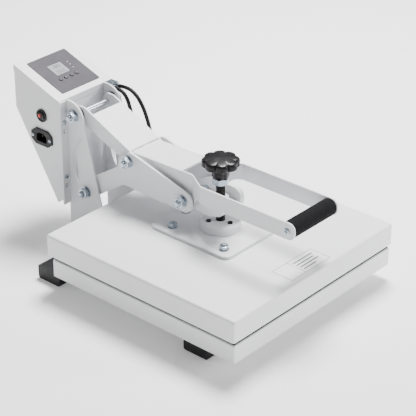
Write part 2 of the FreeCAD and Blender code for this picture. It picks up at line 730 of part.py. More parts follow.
def control_box():
    seam = "(lid_depth / cos(slope) + lid_seam)"
    skin = plate("box_skin", "yz", box_profile("0", seam), ("-box_half", "box_half"))
    inside = plate("box_inside", "yz", box_profile("box_wall", f"({seam} - 8)"),
                   ("box_wall - box_half", "box_half - box_wall"))
    rocker_hole = rod("x", "rocker_hole + 1", ("-70", "-50"), ("rocker_y", "rocker_z"))
    inlet_hole = block(("-70", "-50"), ("inlet_y - 15", "inlet_y + 15"), ("inlet_z - 11", "inlet_z + 11"))
    node("control_box_shell", drilled(skin, inside, rocker_hole, inlet_hole))
    lip = "lid_depth / cos(slope)"
    lower_edge = [("box_rear", f"box_high - {lip}"), ("stand_rear", f"box_front_high - {lip}")]
    lid_profile = box_profile("0", "0")[:2] + lower_edge
    lid_skin = plate("lid_skin", "yz", lid_profile, ("-lid_half", "lid_half"))
    rise = "(box_high - box_front_high) / (box_rear - stand_rear)"
    front, rear = "stand_rear + box_wall", "box_rear - box_wall"
    drop = "(box_wall / cos(slope))"
    hollow_profile = [
        (front, f"box_front_high + {rise} * box_wall - {drop}"),
        (rear, f"box_high - {rise} * box_wall - {drop}"),
        (rear, f"box_high - {lip} - 9"), (front, f"box_front_high - {lip} - 9"),
    ]
    hollow = plate("lid_hollow", "yz", hollow_profile, ("box_wall - lid_half", "lid_half - box_wall"))
    stems = [on_slope(rod("z", "button_hole", ("-6", "3"), (x, "button_row"))) for x in BUTTONS]
    window = on_slope(block(("window_left", "window_right"), ("window_start", "window_end"), ("-6", "3")))
    node("control_box_lid", drilled(lid_skin, hollow, window, *stems))


BUTTONS = ("-18.2", "-6.5", "6.7", "18.4")


def control_panel():
    holes = [((x, "button_row"), "button_hole") for x in BUTTONS]
    holes += [(("lamp_x", place_along), "lamp_size") for place_along in LAMPS]
    sheet = plate("panel", "xy", rectangle("panel_left", "panel_start", "panel_right", "panel_end", "2.5"),
                  ("0", "panel_thick"), holes)
    window = block(("window_left", "window_right"), ("window_start", "window_end"), ("-1", "3"))
    node("control_panel", on_slope(cut(sheet, window)))
    pane = block(("window_left", "window_right"), ("window_start", "window_end"),
                 ("-3", "panel_thick - 0.2"))
    node("display_window", on_slope(pane))
    height = ("0", "panel_thick + 0.3")
    lamps = [on_slope(rod("z", "lamp_size", height, ("lamp_x", along))) for along in LAMPS]
    node("indicator_lamps", group(*lamps))


LAMPS = ("71", "64", "55.6")


def push_buttons():
    for index, x in enumerate(BUTTONS, start=1):
        stem = rod("z", "button_size", ("button_low", "button_top"), (x, "button_row"))
        flange = rod("z", "button_size + 1.2", ("-3.8", "-2.6"), (x, "button_row"))
        node(f"button_{index}", on_slope(fuse(stem, flange)))


def control_board():
    board = block(("-50", "50"), ("8", "98"), ("board_low", "board_top"))
    switches = [block((f"{x} - 3", f"{x} + 3"), ("button_row - 3", "button_row + 3"),
                      ("board_top", "button_low - 1")) for x in BUTTONS]
    posts = [rod("z", "2.5", ("board_top", "-box_wall"), (x, along))
             for x in ("-44", "44") for along in ("14", "92")]
    node("control_board", on_slope(group(board, *switches, *posts)))
    relay_depth = ("stand_rear + box_wall", "stand_rear + box_wall + 24")
    node("heater_relay", block(("5", "45"), relay_depth, ("120", "178")))


def rocker_switch():
    at = ("rocker_y", "rocker_z")
    rim = rod("x", "rocker_rim", ("-box_half - 2.5", "-box_half"), at)
    barrel = rod("x", "rocker_hole + 1", ("-box_half", "-38"), at)
    well = rod("x", "rocker_hole", ("-box_half - 4", "6.5 - box_half"), at)
    node("switch_housing", cut(fuse(rim, barrel), well))
    cap = rod("x", "rocker_size", ("-7", "1.5"), ("0", "0"))
    tilted = group(cap)
    tilted.Placement.Rotation = Rotation(Vector(0, 1, 0), -number("rocker_angle"))
    node("switch_rocker", place(tilted, "3 - box_half", "rocker_y", "rocker_z"))


def power_inlet():
    """An appliance inlet with its two fixing ears, open towards -X."""
    half_long, half_tall = "inlet_long / 2", "inlet_tall / 2"
    ear_outline = []
    for along, up in ((-1, -1), (1, -1), (1, 1), (-1, 1)):
        tip = (f"inlet_y + ({along}) * {half_long}", f"inlet_z + ({up}) * 7", "2.5")
        shoulder = (f"inlet_y + ({along}) * ({half_long} - 10)", f"inlet_z + ({up}) * {half_tall}", "2.5")
        ear_outline += [tip, shoulder] if along == up else [shoulder, tip]
    ear = plate("inlet_ear", "yz", ear_outline, ("-box_half - inlet_flange", "-box_half"))
    can = block(("-box_half", "inlet_deep - box_half"), ("inlet_y - 14", "inlet_y + 14"),
                ("inlet_z - 10", "inlet_z + 10"))
    left, right = "inlet_y - socket_long / 2", "inlet_y + socket_long / 2"
    low, high = "inlet_z - socket_tall / 2", "inlet_z + socket_tall / 2"
    well = plate("inlet_well", "yz",
                 [(left, low, "1.5"), (right, low, "1.5"), (right, "inlet_z + 3"), (f"{right} - 5", high),
                  (f"{left} + 5", high), (left, "inlet_z + 3")],
                 ("-box_half - inlet_flange - 1", "socket_deep - box_half - inlet_flange"))
    node("power_inlet", cut(fuse(ear, can), well))
    pins = []
    length = ("5 - box_half", "socket_deep - box_half - inlet_flange")
    for y, z in (("inlet_y - 7", "inlet_z - 2"), ("inlet_y + 7", "inlet_z - 2"), ("inlet_y", "inlet_z + 2")):
        pins.append(block(length, (f"{y} - 1", f"{y} + 1"), (f"{z} - 2", f"{z} + 2")))
    node("inlet_pins", group(*pins))


# Cables from the box to the heating platen: straight runs joined by tangent arcs

HEATER_ROUTE = (
    (50.3, 176, 245.5), (50.3, 159, 244.5), (50.6, 147, 234), (51, 141, 217), (51.5, 136, 196),
    (52, 129, 172), (52, 118, 148), (52, 103, 128), (52, 88, 114), (52, 78, 97.5),
)
SENSOR_ROUTE = (
    (57.9, 176, 245.5), (58, 155, 249.5), (58.4, 135, 243), (59, 120, 226), (60, 110, 202), (61, 103, 175),
    (61.6, 97, 148), (62, 88, 122), (62, 78, 97.5),
)


def tube(label, route, size):
    points = [Vector(*point) for point in route]
    edges = []
    start = points[0]
    for before, corner, after in zip(points, points[1:], points[2:]):
        inward = before - corner
        outward = after - corner
        half = inward.getAngle(outward) / 2
        reach = 0.45 * min(inward.Length, outward.Length)
        radius = reach * math.tan(half)
        inward.normalize()
        outward.normalize()
        first = corner + inward * reach
        last = corner + outward * reach
        middle = corner + (inward + outward).normalize() * (radius / math.sin(half))
        halfway = middle + (corner - middle).normalize() * radius
        edges.append(Part.LineSegment(start, first).toShape())
        edges.append(Part.Arc(first, halfway, last).toShape())
        start = last
    edges.append(Part.LineSegment(start, points[-1]).toShape())
    path = Part.Wire(edges)
    section = Part.Wire(Part.makeCircle(size, points[0], points[1] - points[0]))
    solid = path.makePipeShell([section], True, False, 2)
    thing = doc.addObject("Part::Feature", label)
    thing.Shape = solid
    thing.Placement = Placement()
    node(label, thing)


def cables():
    block_x = ("stand_out + 0.4", "flange_out")
    body = block(block_x, ("gland_front", "stand_rear"), ("gland_low", "gland_high"))
    bore = ("gland_front - 1", "stand_rear + 1")
    bores = [rod("y", "cable_size", bore, (x, "cable_height")) for x in ("heater_x", "sensor_x")]
    node("cable_gland", drilled(body, *bores))
    tube("heater_cable", HEATER_ROUTE, number("cable_size"))
    tube("sensor_cable", SENSOR_ROUTE, number("cable_size"))


def build():
    fill_sheet()
    foot_tube("front_foot_tube", "front_foot_front")
    foot_tube("rear_foot_tube", "rear_foot_front")
    foot_end_caps()
    base_rails()
    lower_platen()
    silicone_pad()
    platen_cover()
    heating_plate()
    heating_element()
    insulation_blanket()
    temperature_sensor()
    mounting_plate()
    mounting_studs()
    hub()
    pressure_screw()
    star_knob()
    for side, sign in (("left", -1), ("right", 1)):
        stand_plate(side, sign)
        arm_plate(side, sign)
        lever_side(side, sign)
    stand_foot()
    stand_bolts()
    box_screws()
    arm_bolts()
    crosshead()
    lever_web()
    grip()
    upper_link()
    control_box()
    control_panel()
    push_buttons()
    control_board()
    rocker_switch()
    power_inlet()
    cables()


def check_and_write():
    doc.recompute()
    for thing in doc.Objects:
        if {"Invalid", "Error"} & set(thing.State):
            raise RuntimeError(f"{thing.Name} {thing.Label} failed: {thing.State}")
    os.makedirs("parts", exist_ok=True)
    for label, thing in nodes.items():
        if thing.Shape.isNull() or not thing.Shape.isValid():
            raise RuntimeError(f"{label} has no valid shape")
        thing.Shape.exportStep(f"parts/{label}.step")
    print(len(nodes), "nodes written")


build()
check_and_write()
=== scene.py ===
import json
import math

import bmesh
import bpy
from mathutils import Matrix, Vector


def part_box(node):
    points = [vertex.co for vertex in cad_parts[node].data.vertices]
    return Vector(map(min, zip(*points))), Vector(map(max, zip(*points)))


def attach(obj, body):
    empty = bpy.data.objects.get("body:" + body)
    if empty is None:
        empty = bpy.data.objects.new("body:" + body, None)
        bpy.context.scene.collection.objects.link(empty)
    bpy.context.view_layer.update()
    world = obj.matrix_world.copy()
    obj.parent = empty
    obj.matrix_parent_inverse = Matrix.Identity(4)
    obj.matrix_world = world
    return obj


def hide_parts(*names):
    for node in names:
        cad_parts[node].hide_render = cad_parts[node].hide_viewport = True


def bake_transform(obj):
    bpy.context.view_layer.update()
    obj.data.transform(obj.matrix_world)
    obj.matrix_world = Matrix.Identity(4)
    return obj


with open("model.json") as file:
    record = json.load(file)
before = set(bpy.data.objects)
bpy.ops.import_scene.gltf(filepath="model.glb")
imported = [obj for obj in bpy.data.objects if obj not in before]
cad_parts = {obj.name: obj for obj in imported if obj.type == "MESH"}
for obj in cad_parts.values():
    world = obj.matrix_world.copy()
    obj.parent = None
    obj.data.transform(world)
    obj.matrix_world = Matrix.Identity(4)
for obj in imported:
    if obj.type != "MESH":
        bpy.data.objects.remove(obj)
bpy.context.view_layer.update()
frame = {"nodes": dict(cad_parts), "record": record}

RECORD = frame["record"]
JOINTS = {joint["name"]: joint for joint in RECORD["behaviour"]["joints"]}


# Camera, lights and floor

def point_at(thing, target):
    thing.rotation_euler = (Vector(target) - thing.location).to_track_quat("-Z", "Y").to_euler()


def add_camera():
    data = bpy.data.cameras.new("camera")
    data.sensor_width = 36
    data.lens = 141.08
    data.clip_end = 20
    camera = bpy.data.objects.new("camera", data)
    camera.location = (-1.7107, -1.5827, 1.3771)
    bpy.context.collection.objects.link(camera)
    point_at(camera, (-0.0011, -0.0776, 0.1281))
    bpy.context.scene.camera = camera


def add_light(name, place, target, size, power):
    data = bpy.data.lights.new(name, "AREA")
    data.shape = "DISK"
    data.size = size
    data.energy = power
    light = bpy.data.objects.new(name, data)
    light.location = place
    bpy.context.collection.objects.link(light)
    point_at(light, target)


def add_studio():
    """A high key light, two fills, and a sky that is darker below the horizon."""
    add_light("key_light", (0.9, 0.3, 2.3), (0, 0, 0.1), 1.0, 170)
    add_light("front_fill", (1.7, -2.4, 0.9), (0, 0, 0.1), 0.9, 60)
    add_light("left_fill", (-2.6, -0.2, 0.9), (0, 0, 0.12), 0.9, 2)
    world = bpy.data.worlds.new("studio")
    world.use_nodes = True
    tree = world.node_tree
    background = tree.nodes["Background"]
    background.inputs["Strength"].default_value = 0.46
    place = tree.nodes.new("ShaderNodeTexCoord")
    split = tree.nodes.new("ShaderNodeSeparateXYZ")
    shade = tree.nodes.new("ShaderNodeValToRGB")
    shade.color_ramp.elements[0].position = 0.0
    shade.color_ramp.elements[0].color = (0.30, 0.32, 0.36, 1)
    shade.color_ramp.elements[1].position = 0.8
    shade.color_ramp.elements[1].color = (1, 1, 1, 1)
    tree.links.new(place.outputs["Generated"], split.inputs["Vector"])
    tree.links.new(split.outputs["Z"], shade.inputs["Fac"])
    tree.links.new(shade.outputs["Color"], background.inputs["Color"])
    bpy.context.scene.world = world


def add_floor():
    """A pale floor, faintly lit of itself, just below the feet."""
    mesh = bpy.data.meshes.new("floor")
    half = 6
    corners = [(-half, -half, 0), (half, -half, 0), (half, half, 0), (-half, half, 0)]
    mesh.from_pydata(corners, [], [(0, 1, 2, 3)])
    floor = bpy.data.objects.new("floor", mesh)
    floor.location.z = -0.0002
    bpy.context.collection.objects.link(floor)
    material = new_material("pale_floor", (0.985, 0.985, 0.985), 0.9)
    material["shader"].inputs["Emission Color"].default_value = (1, 1, 1, 1)
    material["shader"].inputs["Emission Strength"].default_value = 0.16
    mesh.materials.append(material["material"])


# Materials. Each is a Principled shader with a fine bump and a little uneven colour and gloss.

def new_material(name, colour, roughness, metallic=0.0, shine=0.5):
    material = bpy.data.materials.new(name)
    material.use_nodes = True
    tree = material.node_tree
    shader = tree.nodes["Principled BSDF"]
    shader.inputs["Base Color"].default_value = (*colour, 1)
    shader.inputs["Roughness"].default_value = roughness
    shader.inputs["Metallic"].default_value = metallic
    shader.inputs["Specular IOR Level"].default_value = shine
    place = tree.nodes.new("ShaderNodeTexCoord")
    return {"material": material, "tree": tree, "shader": shader, "place": place.outputs["Object"]}


def node_of(kit, kind, **settings):
    made = kit["tree"].nodes.new(kind)
    for name, setting in settings.items():
        setattr(made, name, setting)
    return made


def noise(kit, scale, detail=3.0, stretch=None):
    made = node_of(kit, "ShaderNodeTexNoise")
    made.inputs["Scale"].default_value = scale
    made.inputs["Detail"].default_value = detail
    source = kit["place"]
    if stretch:
        mapping = node_of(kit, "ShaderNodeMapping")
        mapping.inputs["Scale"].default_value = stretch
        kit["tree"].links.new(source, mapping.inputs["Vector"])
        source = mapping.outputs["Vector"]
    kit["tree"].links.new(source, made.inputs["Vector"])
    return made.outputs["Fac"]


def ramp(kit, source, low, high, low_value, high_value):
    made = node_of(kit, "ShaderNodeMapRange")
    for name, value in (("From Min", low), ("From Max", high), ("To Min", low_value), ("To Max", high_value)):
        made.inputs[name].default_value = value
    kit["tree"].links.new(source, made.inputs["Value"])
    return made.outputs["Result"]


def mixed_colour(kit, source, first, second):
    made = node_of(kit, "ShaderNodeMix", data_type="RGBA")
    made.inputs["A"].default_value = (*first, 1)
    made.inputs["B"].default_value = (*second, 1)
    kit["tree"].links.new(source, made.inputs["Factor"])
    kit["tree"].links.new(made.outputs["Result"], kit["shader"].inputs["Base Color"])


def uneven_gloss(kit, source, low, high):
    kit["tree"].links.new(ramp(kit, source, 0.3, 0.7, low, high), kit["shader"].inputs["Roughness"])


def bumped(kit, source, depth, strength=1.0, edge=0.0):
    made = node_of(kit, "ShaderNodeBump")
    made.inputs["Strength"].default_value = strength
    made.inputs["Distance"].default_value = depth
    kit["tree"].links.new(source, made.inputs["Height"])
    if edge:
        soft = node_of(kit, "ShaderNodeBevel", samples=4)
        soft.inputs["Radius"].default_value = edge
        kit["tree"].links.new(soft.outputs["Normal"], made.inputs["Normal"])
    kit["tree"].links.new(made.outputs["Normal"], kit["shader"].inputs["Normal"])


def powder_coat(name, light, dark, gloss=(0.36, 0.5), shine=0.5):
    """Powder coat: orange peel, faint cloudiness and softened edges."""
    kit = new_material(name, light, gloss[0], shine=shine)
    clouds = noise(kit, 9, 5)
    mixed_colour(kit, ramp(kit, clouds, 0.35, 0.75, 0, 1), light, dark)
    uneven_gloss(kit, noise(kit, 60, 4), *gloss)
    bumped(kit, noise(kit, 1500, 2), 0.00006, 0.5, edge=0.0007)
    return kit["material"]


def plated(name, light, dark, gloss, streaks=(1, 1, 1), edge=0.0003):
    """Plated or blackened metal: uneven tint and gloss, drawn out into lines where streaks are given."""
    kit = new_material(name, light, gloss[0], 1.0)
    mixed_colour(kit, ramp(kit, noise(kit, 140, 4), 0.35, 0.7, 0, 1), light, dark)
    uneven_gloss(kit, noise(kit, 420, 4, streaks), *gloss)
    bumped(kit, noise(kit, 900, 3, streaks), 0.00001, 0.3, edge=edge)
    return kit["material"]


def moulded(name, light, dark, gloss, grain=1800, depth=0.00005, edge=0.0004, shine=0.5):
    """Moulded plastic or rubber with its mould's grain."""
    kit = new_material(name, light, gloss[0], shine=shine)
    mixed_colour(kit, ramp(kit, noise(kit, 35, 4), 0.35, 0.7, 0, 1), light, dark)
    uneven_gloss(kit, noise(kit, 90, 3), *gloss)
    bumped(kit, noise(kit, grain, 2), depth, 0.6, edge=edge)
    return kit["material"]


def foam(name):
    """Closed-cell foam: fine open pores in a matt skin."""
    kit = new_material(name, (0.005, 0.005, 0.006), 0.9, shine=0.15)
    pores = ramp(kit, noise(kit, 700, 3), 0.35, 0.7, 0, 1)
    mixed_colour(kit, pores, (0.003, 0.003, 0.004), (0.009, 0.009, 0.010))
    cells = node_of(kit, "ShaderNodeTexVoronoi", feature="DISTANCE_TO_EDGE")
    cells.inputs["Scale"].default_value = 1300
    kit["tree"].links.new(kit["place"], cells.inputs["Vector"])
    bumped(kit, cells.outputs["Distance"], 0.0004, 0.7)
    return kit["material"]


def blanket_cloth(name):
    """Woven glass fibre: mottled, matt and coarse."""
    kit = new_material(name, (0.8, 0.79, 0.74), 0.9)
    mixed_colour(kit, ramp(kit, noise(kit, 300, 5), 0.3, 0.7, 0, 1), (0.82, 0.81, 0.76), (0.62, 0.6, 0.55))
    bumped(kit, noise(kit, 260, 6), 0.001, 0.8)
    return kit["material"]


WHITE = powder_coat("white_powder_coat", (0.80, 0.805, 0.82), (0.765, 0.77, 0.79))
PLATEN_WHITE = powder_coat("platen_enamel", (0.83, 0.835, 0.845), (0.79, 0.795, 0.81), (0.32, 0.44))
BLACK_PAINT = powder_coat("black_powder_coat", (0.009, 0.009, 0.010), (0.014, 0.014, 0.015),
                          (0.4, 0.58), 0.18)
ZINC = plated("zinc_plate", (0.46, 0.52, 0.58), (0.34, 0.39, 0.45), (0.22, 0.34))
BRIGHT = plated("bright_steel", (0.60, 0.63, 0.67), (0.50, 0.53, 0.57), (0.2, 0.3))
BLACK_OXIDE = plated("black_oxide", (0.045, 0.043, 0.042), (0.02, 0.02, 0.02), (0.38, 0.55))
HOT_METAL = plated("heating_aluminium", (0.62, 0.62, 0.63), (0.5, 0.5, 0.51), (0.35, 0.5), (1, 12, 1))
SILICONE = moulded("black_silicone", (0.014, 0.014, 0.015), (0.022, 0.022, 0.024),
                   (0.62, 0.78), 700, 0.0001, shine=0.2)
BLACK_PLASTIC = moulded("black_plastic", (0.008, 0.008, 0.009), (0.013, 0.013, 0.014),
                        (0.42, 0.56), shine=0.25)
PHENOLIC = moulded("phenolic_knob", (0.006, 0.005, 0.006), (0.010, 0.009, 0.010),
                   (0.24, 0.36), 500, 0.00006, shine=0.25)
PANEL = moulded("panel_film", (0.075, 0.07, 0.08), (0.062, 0.058, 0.067),
                (0.5, 0.6), 2200, 0.00003, shine=0.12)
WINDOW = moulded("display_glass", (0.33, 0.335, 0.35), (0.29, 0.295, 0.31), (0.12, 0.2), 300, 0.00001)
SEGMENT = moulded("display_segment", (0.05, 0.055, 0.06), (0.035, 0.04, 0.045),
                  (0.3, 0.4), 600, 0.00001, shine=0.2)
BUTTON = moulded("button_cap", (0.06, 0.057, 0.066), (0.045, 0.043, 0.05),
                 (0.34, 0.46), 1500, 0.00003, shine=0.2)
RED = moulded("red_mark", (0.75, 0.015, 0.012), (0.6, 0.01, 0.01), (0.3, 0.4), 900, 0.00003)
LAMP = moulded("lamp_lens", (0.30, 0.28, 0.30), (0.24, 0.22, 0.24), (0.2, 0.3), 900, 0.00002)
BOARD = moulded("board_laminate", (0.02, 0.12, 0.05), (0.03, 0.16, 0.07), (0.35, 0.5), 400, 0.00005)
CONTACT = plated("contact_brass", (0.75, 0.66, 0.42), (0.62, 0.53, 0.33), (0.2, 0.34))
LABEL = moulded("label_paper", (0.82, 0.82, 0.83), (0.79, 0.79, 0.80), (0.45, 0.6), 1200, 0.00002)
LABEL_INK = moulded("label_ink", (0.012, 0.012, 0.014), (0.02, 0.02, 0.022),
                    (0.5, 0.6), 900, 0.00001, shine=0.1)
FOAM = foam("foam_grip")
JACKET = moulded("cable_jacket", (0.006, 0.006, 0.007), (0.010, 0.010, 0.011),
                 (0.5, 0.62), 900, 0.00004, shine=0.25)
BLANKET = blanket_cloth("glass_blanket")

NODE_MATERIALS = {
    BLACK_PAINT: ("front_foot_tube", "rear_foot_tube", "base_rails", "stand_foot"),
    BLACK_PLASTIC: ("foot_end_caps", "link_spacers", "power_inlet", "switch_housing", "switch_rocker",
                    "heater_relay"),
    PLATEN_WHITE: ("lower_platen", "platen_cover"),
    SILICONE: ("silicone_pad",),
    WHITE: ("stand_plate_left", "stand_plate_right", "control_box_shell", "control_box_lid",
            "arm_plate_left", "arm_plate_right", "lever_side_left", "lever_side_right", "lever_web",
            "upper_link", "mounting_plate", "hub", "hub_retainer", "crosshead"),
    ZINC: ("main_pivot_shaft", "top_pivot_studs", "stand_nuts", "box_screws", "arm_axles", "arm_nuts",
           "arm_spacers", "fold_pin", "grip_tube", "grip_screws", "mounting_studs", "jam_nut",
           "temperature_sensor", "heating_element", "cable_gland"),
    BRIGHT: ("link_end_shaft",),
    HOT_METAL: ("heating_plate",),
    BLACK_OXIDE: ("pressure_screw", "hub_screws"),
    PHENOLIC: ("star_knob",),
    FOAM: ("foam_grip",),
    PANEL: ("control_panel",),
    WINDOW: ("display_window",),
    LAMP: ("indicator_lamps",),
    BUTTON: ("button_1", "button_2", "button_3", "button_4"),
    BOARD: ("control_board",),
    CONTACT: ("inlet_pins",),
    BLANKET: ("insulation_blanket",),
    JACKET: ("heater_cable", "sensor_cable"),
}


def dress_frame():
    """Give every carried-over CAD node its material."""
    for material, names in NODE_MATERIALS.items():
        for name in names:
            node = frame["nodes"][name]
            node.data.materials.clear()
            node.data.materials.append(material)


# Mesh building

def finished(name, bm, material, body, smooth=35):
    """Turn a bmesh into a piece that rides on a body."""
    bmesh.ops.remove_doubles(bm, verts=bm.verts, dist=1e-6)
    bmesh.ops.recalc_face_normals(bm, faces=bm.faces)
    mesh = bpy.data.meshes.new(name)
    bm.to_mesh(mesh)
    bm.free()
    for polygon in mesh.polygons:
        polygon.use_smooth = True
    mesh.set_sharp_from_angle(angle=math.radians(smooth))
    mesh.materials.append(material)
    piece = bpy.data.objects.new(name, mesh)
    bpy.context.collection.objects.link(piece)
    if body:
        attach(piece, body)
    return piece


AXES = {
    "x": Matrix(((0, 0, 1), (1, 0, 0), (0, 1, 0))),
    "-x": Matrix(((0, 0, -1), (-1, 0, 0), (0, 1, 0))),
    "y": Matrix(((1, 0, 0), (0, 0, 1), (0, -1, 0))),
    "-y": Matrix(((1, 0, 0), (0, 0, -1), (0, 1, 0))),
    "z": Matrix.Identity(3),
}


def lathe(bm, section, steps, origin, along="z", ring=False, frame_turn=None):
    """A turned body whose half section (radius, height) may change with the angle."""
    turn = frame_turn or AXES[along]
    origin = Vector(origin)
    radii = [radius for radius, height in section(0)]
    rows = []
    for step in range(steps):
        angle = 2 * math.pi * step / steps
        row = []
        for radius, height in section(angle):
            local = Vector((radius * math.cos(angle), radius * math.sin(angle), height))
            row.append(bm.verts.new(origin + turn @ local))
        rows.append(row)
    count = len(radii)
    for step in range(steps):
        here, there = rows[step], rows[(step + 1) % steps]
        for index in range(count if ring else count - 1):
            following = (index + 1) % count
            corners = [here[index], there[index], there[following], here[following]]
            if radii[index] == 0:
                corners.remove(there[index])
            if radii[following] == 0:
                corners.remove(there[following])
            if len(corners) > 2:
                bm.faces.new(corners)


def hex_radius(angle, flats):
    """Distance from the middle of a hexagon to its edge."""
    return flats / 2 / math.cos((angle + math.pi / 6) % (math.pi / 3) - math.pi / 6)


def add_nut(bm, origin, along, flats, bore, height):
    """A hexagon nut whose corners are turned down at both ends."""
    crown = flats * 0.475
    slope = 0.55

    def section(angle):
        wide = hex_radius(angle, flats)
        drop = (wide - crown) * slope
        return [(bore, 0.0006), (bore + 0.0006, 0), (crown, 0), (wide, drop), (wide, height - drop),
                (crown, height), (bore + 0.0006, height), (bore, height - 0.0006)]

    lathe(bm, section, 72, origin, along, ring=True)


def add_washer(bm, origin, along, outer, bore, height, edge=0.0003):
    def section(angle):
        return [(bore, 0), (outer - edge, 0), (outer, edge), (outer, height - edge), (outer - edge, height),
                (bore, height)]

    lathe(bm, section, 48, origin, along, ring=True)


def thread_radius(height, angle, radius, pitch, depth):
    """Radius of a single-start thread at a height and an angle."""
    phase = (height / pitch - angle / (2 * math.pi)) % 1
    return radius - depth * min(1, max(0, abs(phase - 0.5) * 3.2 - 0.3))


def add_thread(bm, origin, along, radius, length, pitch, start=0.0, steps=36, per_turn=6):
    """A threaded rod with a chamfered far end."""
    depth = pitch * 0.5
    count = max(2, round((length - start) / pitch * per_turn))
    chamfer = depth * 1.1

    def section(angle):
        points = [(0, start), (radius - depth, start)]
        for index in range(count + 1):
            height = start + (length - start) * index / count
            size = thread_radius(height, angle, radius, pitch, depth)
            left = length - height
            points.append((min(size, radius - chamfer + left) if left < chamfer else size, height))
        points.append((0, length))
        return points

    lathe(bm, section, steps, origin, along)


# Fasteners

PIVOT_RADIUS = (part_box("link_end_shaft")[1][2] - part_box("link_end_shaft")[0][2]) / 2
NUT_FLATS = 0.017
NUT_THICK = 0.008
WASHER_THICK = 0.002
WASHER_RADIUS = 0.0108
STUD_END = 0.005


def pivot(joint):
    where = JOINTS[joint]["pos_m"]
    return where[1], where[2]


def middle(node):
    low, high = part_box(node)
    return [(low[axis] + high[axis]) / 2 for axis in range(3)]


def threaded_ends(bm, span, y, z):
    """A plain rod between the nuts, with a thread and a chamfer at each outer end."""
    inner, outer = span
    root = PIVOT_RADIUS - 0.0007
    plain = outer - NUT_THICK - STUD_END + 0.002
    for along in ("x", "-x"):
        def section(angle):
            points = [(0, inner), (PIVOT_RADIUS, inner), (PIVOT_RADIUS, plain)]
            turns = 42
            for index in range(1, turns + 1):
                height = plain + (outer - 0.0009 - plain) * index / turns
                points.append((thread_radius(height, angle, PIVOT_RADIUS, 0.0015, 0.0007), height))
            points += [(root, outer - 0.0008), (root - 0.0008, outer), (0, outer)]
            return points

        lathe(bm, section, 32, (0, y, z), along)


def bolted_ends(name, body, pivots, face, inner):
    """Rod, washers, nuts and stud ends of each pivot."""
    bm = bmesh.new()
    for y, z in pivots:
        for along, sign in (("x", 1), ("-x", -1)):
            seat = face * sign
            add_washer(bm, (seat, y, z), along, WASHER_RADIUS, PIVOT_RADIUS, WASHER_THICK)
            add_nut(bm, (seat + sign * WASHER_THICK, y, z), along, NUT_FLATS, PIVOT_RADIUS, NUT_THICK)
        threaded_ends(bm, (inner[y], face + WASHER_THICK + NUT_THICK + STUD_END), y, z)
    return finished(name, bm, ZINC, body, 40)


def pivot_hardware():
    """The bolted pivots of the stand and of the press arm."""
    top = tuple(middle("link_end_shaft")[1:])
    main = pivot("press_open")
    front = pivot("handle_lift")
    stand_face = abs(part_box("link_spacers")[0][0]) + 0.003
    stud_start = 0.0355
    inner = {top[0]: stud_start, main[0]: 0}
    piece = bolted_ends("stand_pivot_bolts", "stand", [top, main], stand_face, inner)
    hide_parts("stand_nuts", "top_pivot_studs", "main_pivot_shaft")
    arm_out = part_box("arm_plate_right")[1][0]
    arm_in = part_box("arm_plate_right")[0][0]
    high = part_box("arm_axles")[1]
    lug = (high[1] - PIVOT_RADIUS, high[2] - PIVOT_RADIUS)
    inner = {front[0]: 0, lug[0]: arm_in}
    piece = bolted_ends("arm_pivot_bolts", "press_arm", [front, lug], arm_out, inner)
    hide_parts("arm_nuts", "arm_axles")


def mounting_nuts():
    """Five studs with nuts and washers on the mounting plate."""
    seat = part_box("mounting_plate")[1][2]
    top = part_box("mounting_studs")[1][2]
    stud_radius = 0.004
    washer_thick = 0.0012
    bm = bmesh.new()
    for x, y in ((0.0515, -0.047), (-0.0515, -0.047), (0.0515, -0.155), (-0.0515, -0.155), (0, -0.0295)):
        add_washer(bm, (x, y, seat), "z", 0.0082, stud_radius, washer_thick)
        add_nut(bm, (x, y, seat + washer_thick), "z", 0.013, stud_radius, 0.0058)
        add_thread(bm, (x, y, seat), "z", stud_radius, top - seat, 0.00125, start=0.0005)
    piece = finished("mounting_stud_nuts", bm, ZINC, "platen")
    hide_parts("mounting_studs")


def hub_socket_screws():
    """Socket head screws sunk in the retainer."""
    low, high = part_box("hub_screws")
    height = high[2] - low[2]
    centre = middle("hub")
    ring_radius = 0.020
    head_radius = 0.0043
    socket_flats = 0.004

    def section(angle):
        socket = hex_radius(angle, socket_flats)
        return [(0, 0), (head_radius, 0), (head_radius, height - 0.0005),
                (head_radius - 0.0005, height), (socket + 0.0002, height),
                (socket, height - 0.0002), (socket, height - 0.0022), (0, height - 0.0026)]

    bm = bmesh.new()
    for turn in (30, 150, 270):
        x = centre[0] + ring_radius * math.cos(math.radians(turn))
        y = centre[1] + ring_radius * math.sin(math.radians(turn))
        lathe(bm, section, 48, (x, y, low[2]), "z")
    piece = finished("hub_socket_screws", bm, BLACK_OXIDE, "platen")
    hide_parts("hub_screws")


def pan_head(bm, origin, along, radius, height):
    """A domed screw head."""
    def section(angle):
        return [(0, 0), (radius, 0), (radius, height * 0.35), (radius * 0.93, height * 0.7),
                (radius * 0.7, height * 0.93), (radius * 0.35, height), (0, height)]

    lathe(bm, section, 32, origin, along)


def painted_cross_shade(bm, origin, along, radius, height):
    """A dark cross a hair above the dome: painted shade in place of a recess."""
    turn = AXES[along]
    wide = radius * 0.13
    for first, second in ((radius * 0.55, wide), (wide, radius * 0.55)):
        verts = []
        for level in (height * 0.6, height * 1.03):
            for x, y in ((-first, -second), (first, -second), (first, second), (-first, second)):
                verts.append(bm.verts.new(Vector(origin) + turn @ Vector((x, y, level))))
        for corners in ((0, 1, 2, 3), (4, 5, 6, 7), (0, 1, 5, 4), (1, 2, 6, 5), (2, 3, 7, 6), (3, 0, 4, 7)):
            bm.faces.new([verts[corner] for corner in corners])


def screw_set(name, body, replaced, screws):
    """Screw heads that replace one CAD node, and their crosses of painted recess shade."""
    heads = bmesh.new()
    cross_shade_mesh = bmesh.new()
    for origin, along, radius, height in screws:
        pan_head(heads, origin, along, radius, height)
        painted_cross_shade(cross_shade_mesh, origin, along, radius, height)
    piece = finished(name, heads, ZINC, body)
    # The crosses are painted shade in the black oxide material, standing where the recesses would be.
    finished(name + "_recess_painted_shade", cross_shade_mesh, BLACK_OXIDE, body)
    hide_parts(replaced)


